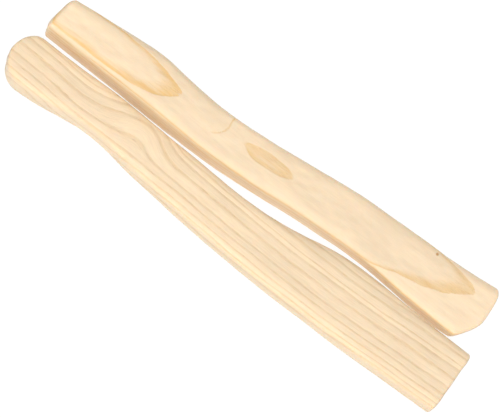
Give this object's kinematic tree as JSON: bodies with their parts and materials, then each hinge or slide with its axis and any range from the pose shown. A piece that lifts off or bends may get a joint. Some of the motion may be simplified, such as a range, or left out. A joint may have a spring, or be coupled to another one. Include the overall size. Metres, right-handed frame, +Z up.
{
  "type": "claves",
  "caption": "Pair of hand-shaped solid ash claves, knobbed at one end and square-cut at the other, that ring when one strikes the other.",
  "frame": {"origin": "on the surface that the pair lies on, below the middle of the pair", "axes": "+X along both sticks, towards the held clave's square end and the striking clave's knob; +Y from the held clave to the striking clave; +Z up"},
  "size_m": [0.2002, 0.0514, 0.0203],
  "materials": {
    "held_ash": "fine-sanded and lightly oiled ash, growth rings running along the cheek",
    "striking_ash": "fine-sanded and lightly oiled ash, flat-sawn back with cathedral figure"
  },
  "bodies": {
    "held_clave": {"held_clave": "held_ash"},
    "striking_clave": {"striking_clave": "striking_ash"}
  },
  "joints": [
    {"name": "striking_clave_lift", "type": "slide", "parent": "held_clave", "child": "striking_clave", "axis": [0, 0, 1], "range_m": [0, 0.12]}
  ]
}
